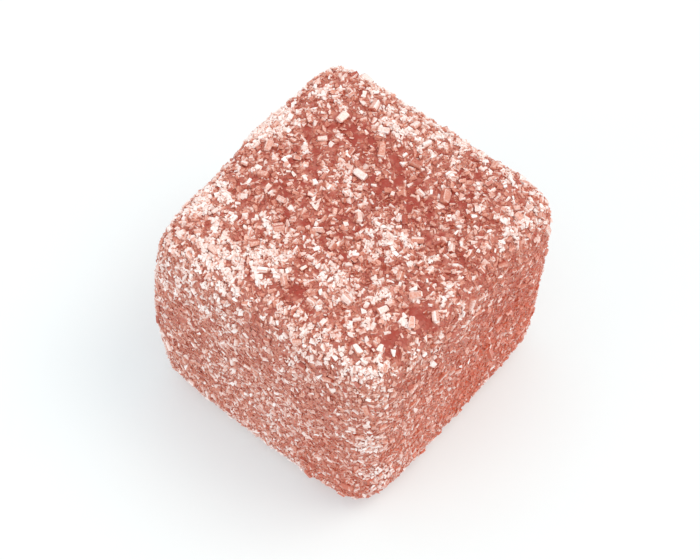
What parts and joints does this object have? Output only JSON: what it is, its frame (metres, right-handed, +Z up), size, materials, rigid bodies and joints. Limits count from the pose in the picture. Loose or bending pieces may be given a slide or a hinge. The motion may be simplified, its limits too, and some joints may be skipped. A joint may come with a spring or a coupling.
{
  "type": "gum cube",
  "caption": "Moulded cube of soft fruit gum with rounded edges and slightly sunk faces, coated all over in coarse sugar crystals. It rests on its flat base.",
  "frame": {"origin": "middle of the outer box, on the flat base that the cube rests on", "axes": "+Z up from the base, along the shortest side; +Y along the longest side; +X along the third side"},
  "size_m": [0.0178, 0.0182, 0.0161],
  "materials": {
    "sugared_gel": "soft translucent salmon-red gel under a matte, glittering coat of sugar",
    "sugar_crystals": "white to clear crystals of granulated sugar, each facet glossy"
  },
  "bodies": {
    "root": {"gum_cube": "sugared_gel"}
  },
  "joints": []
}
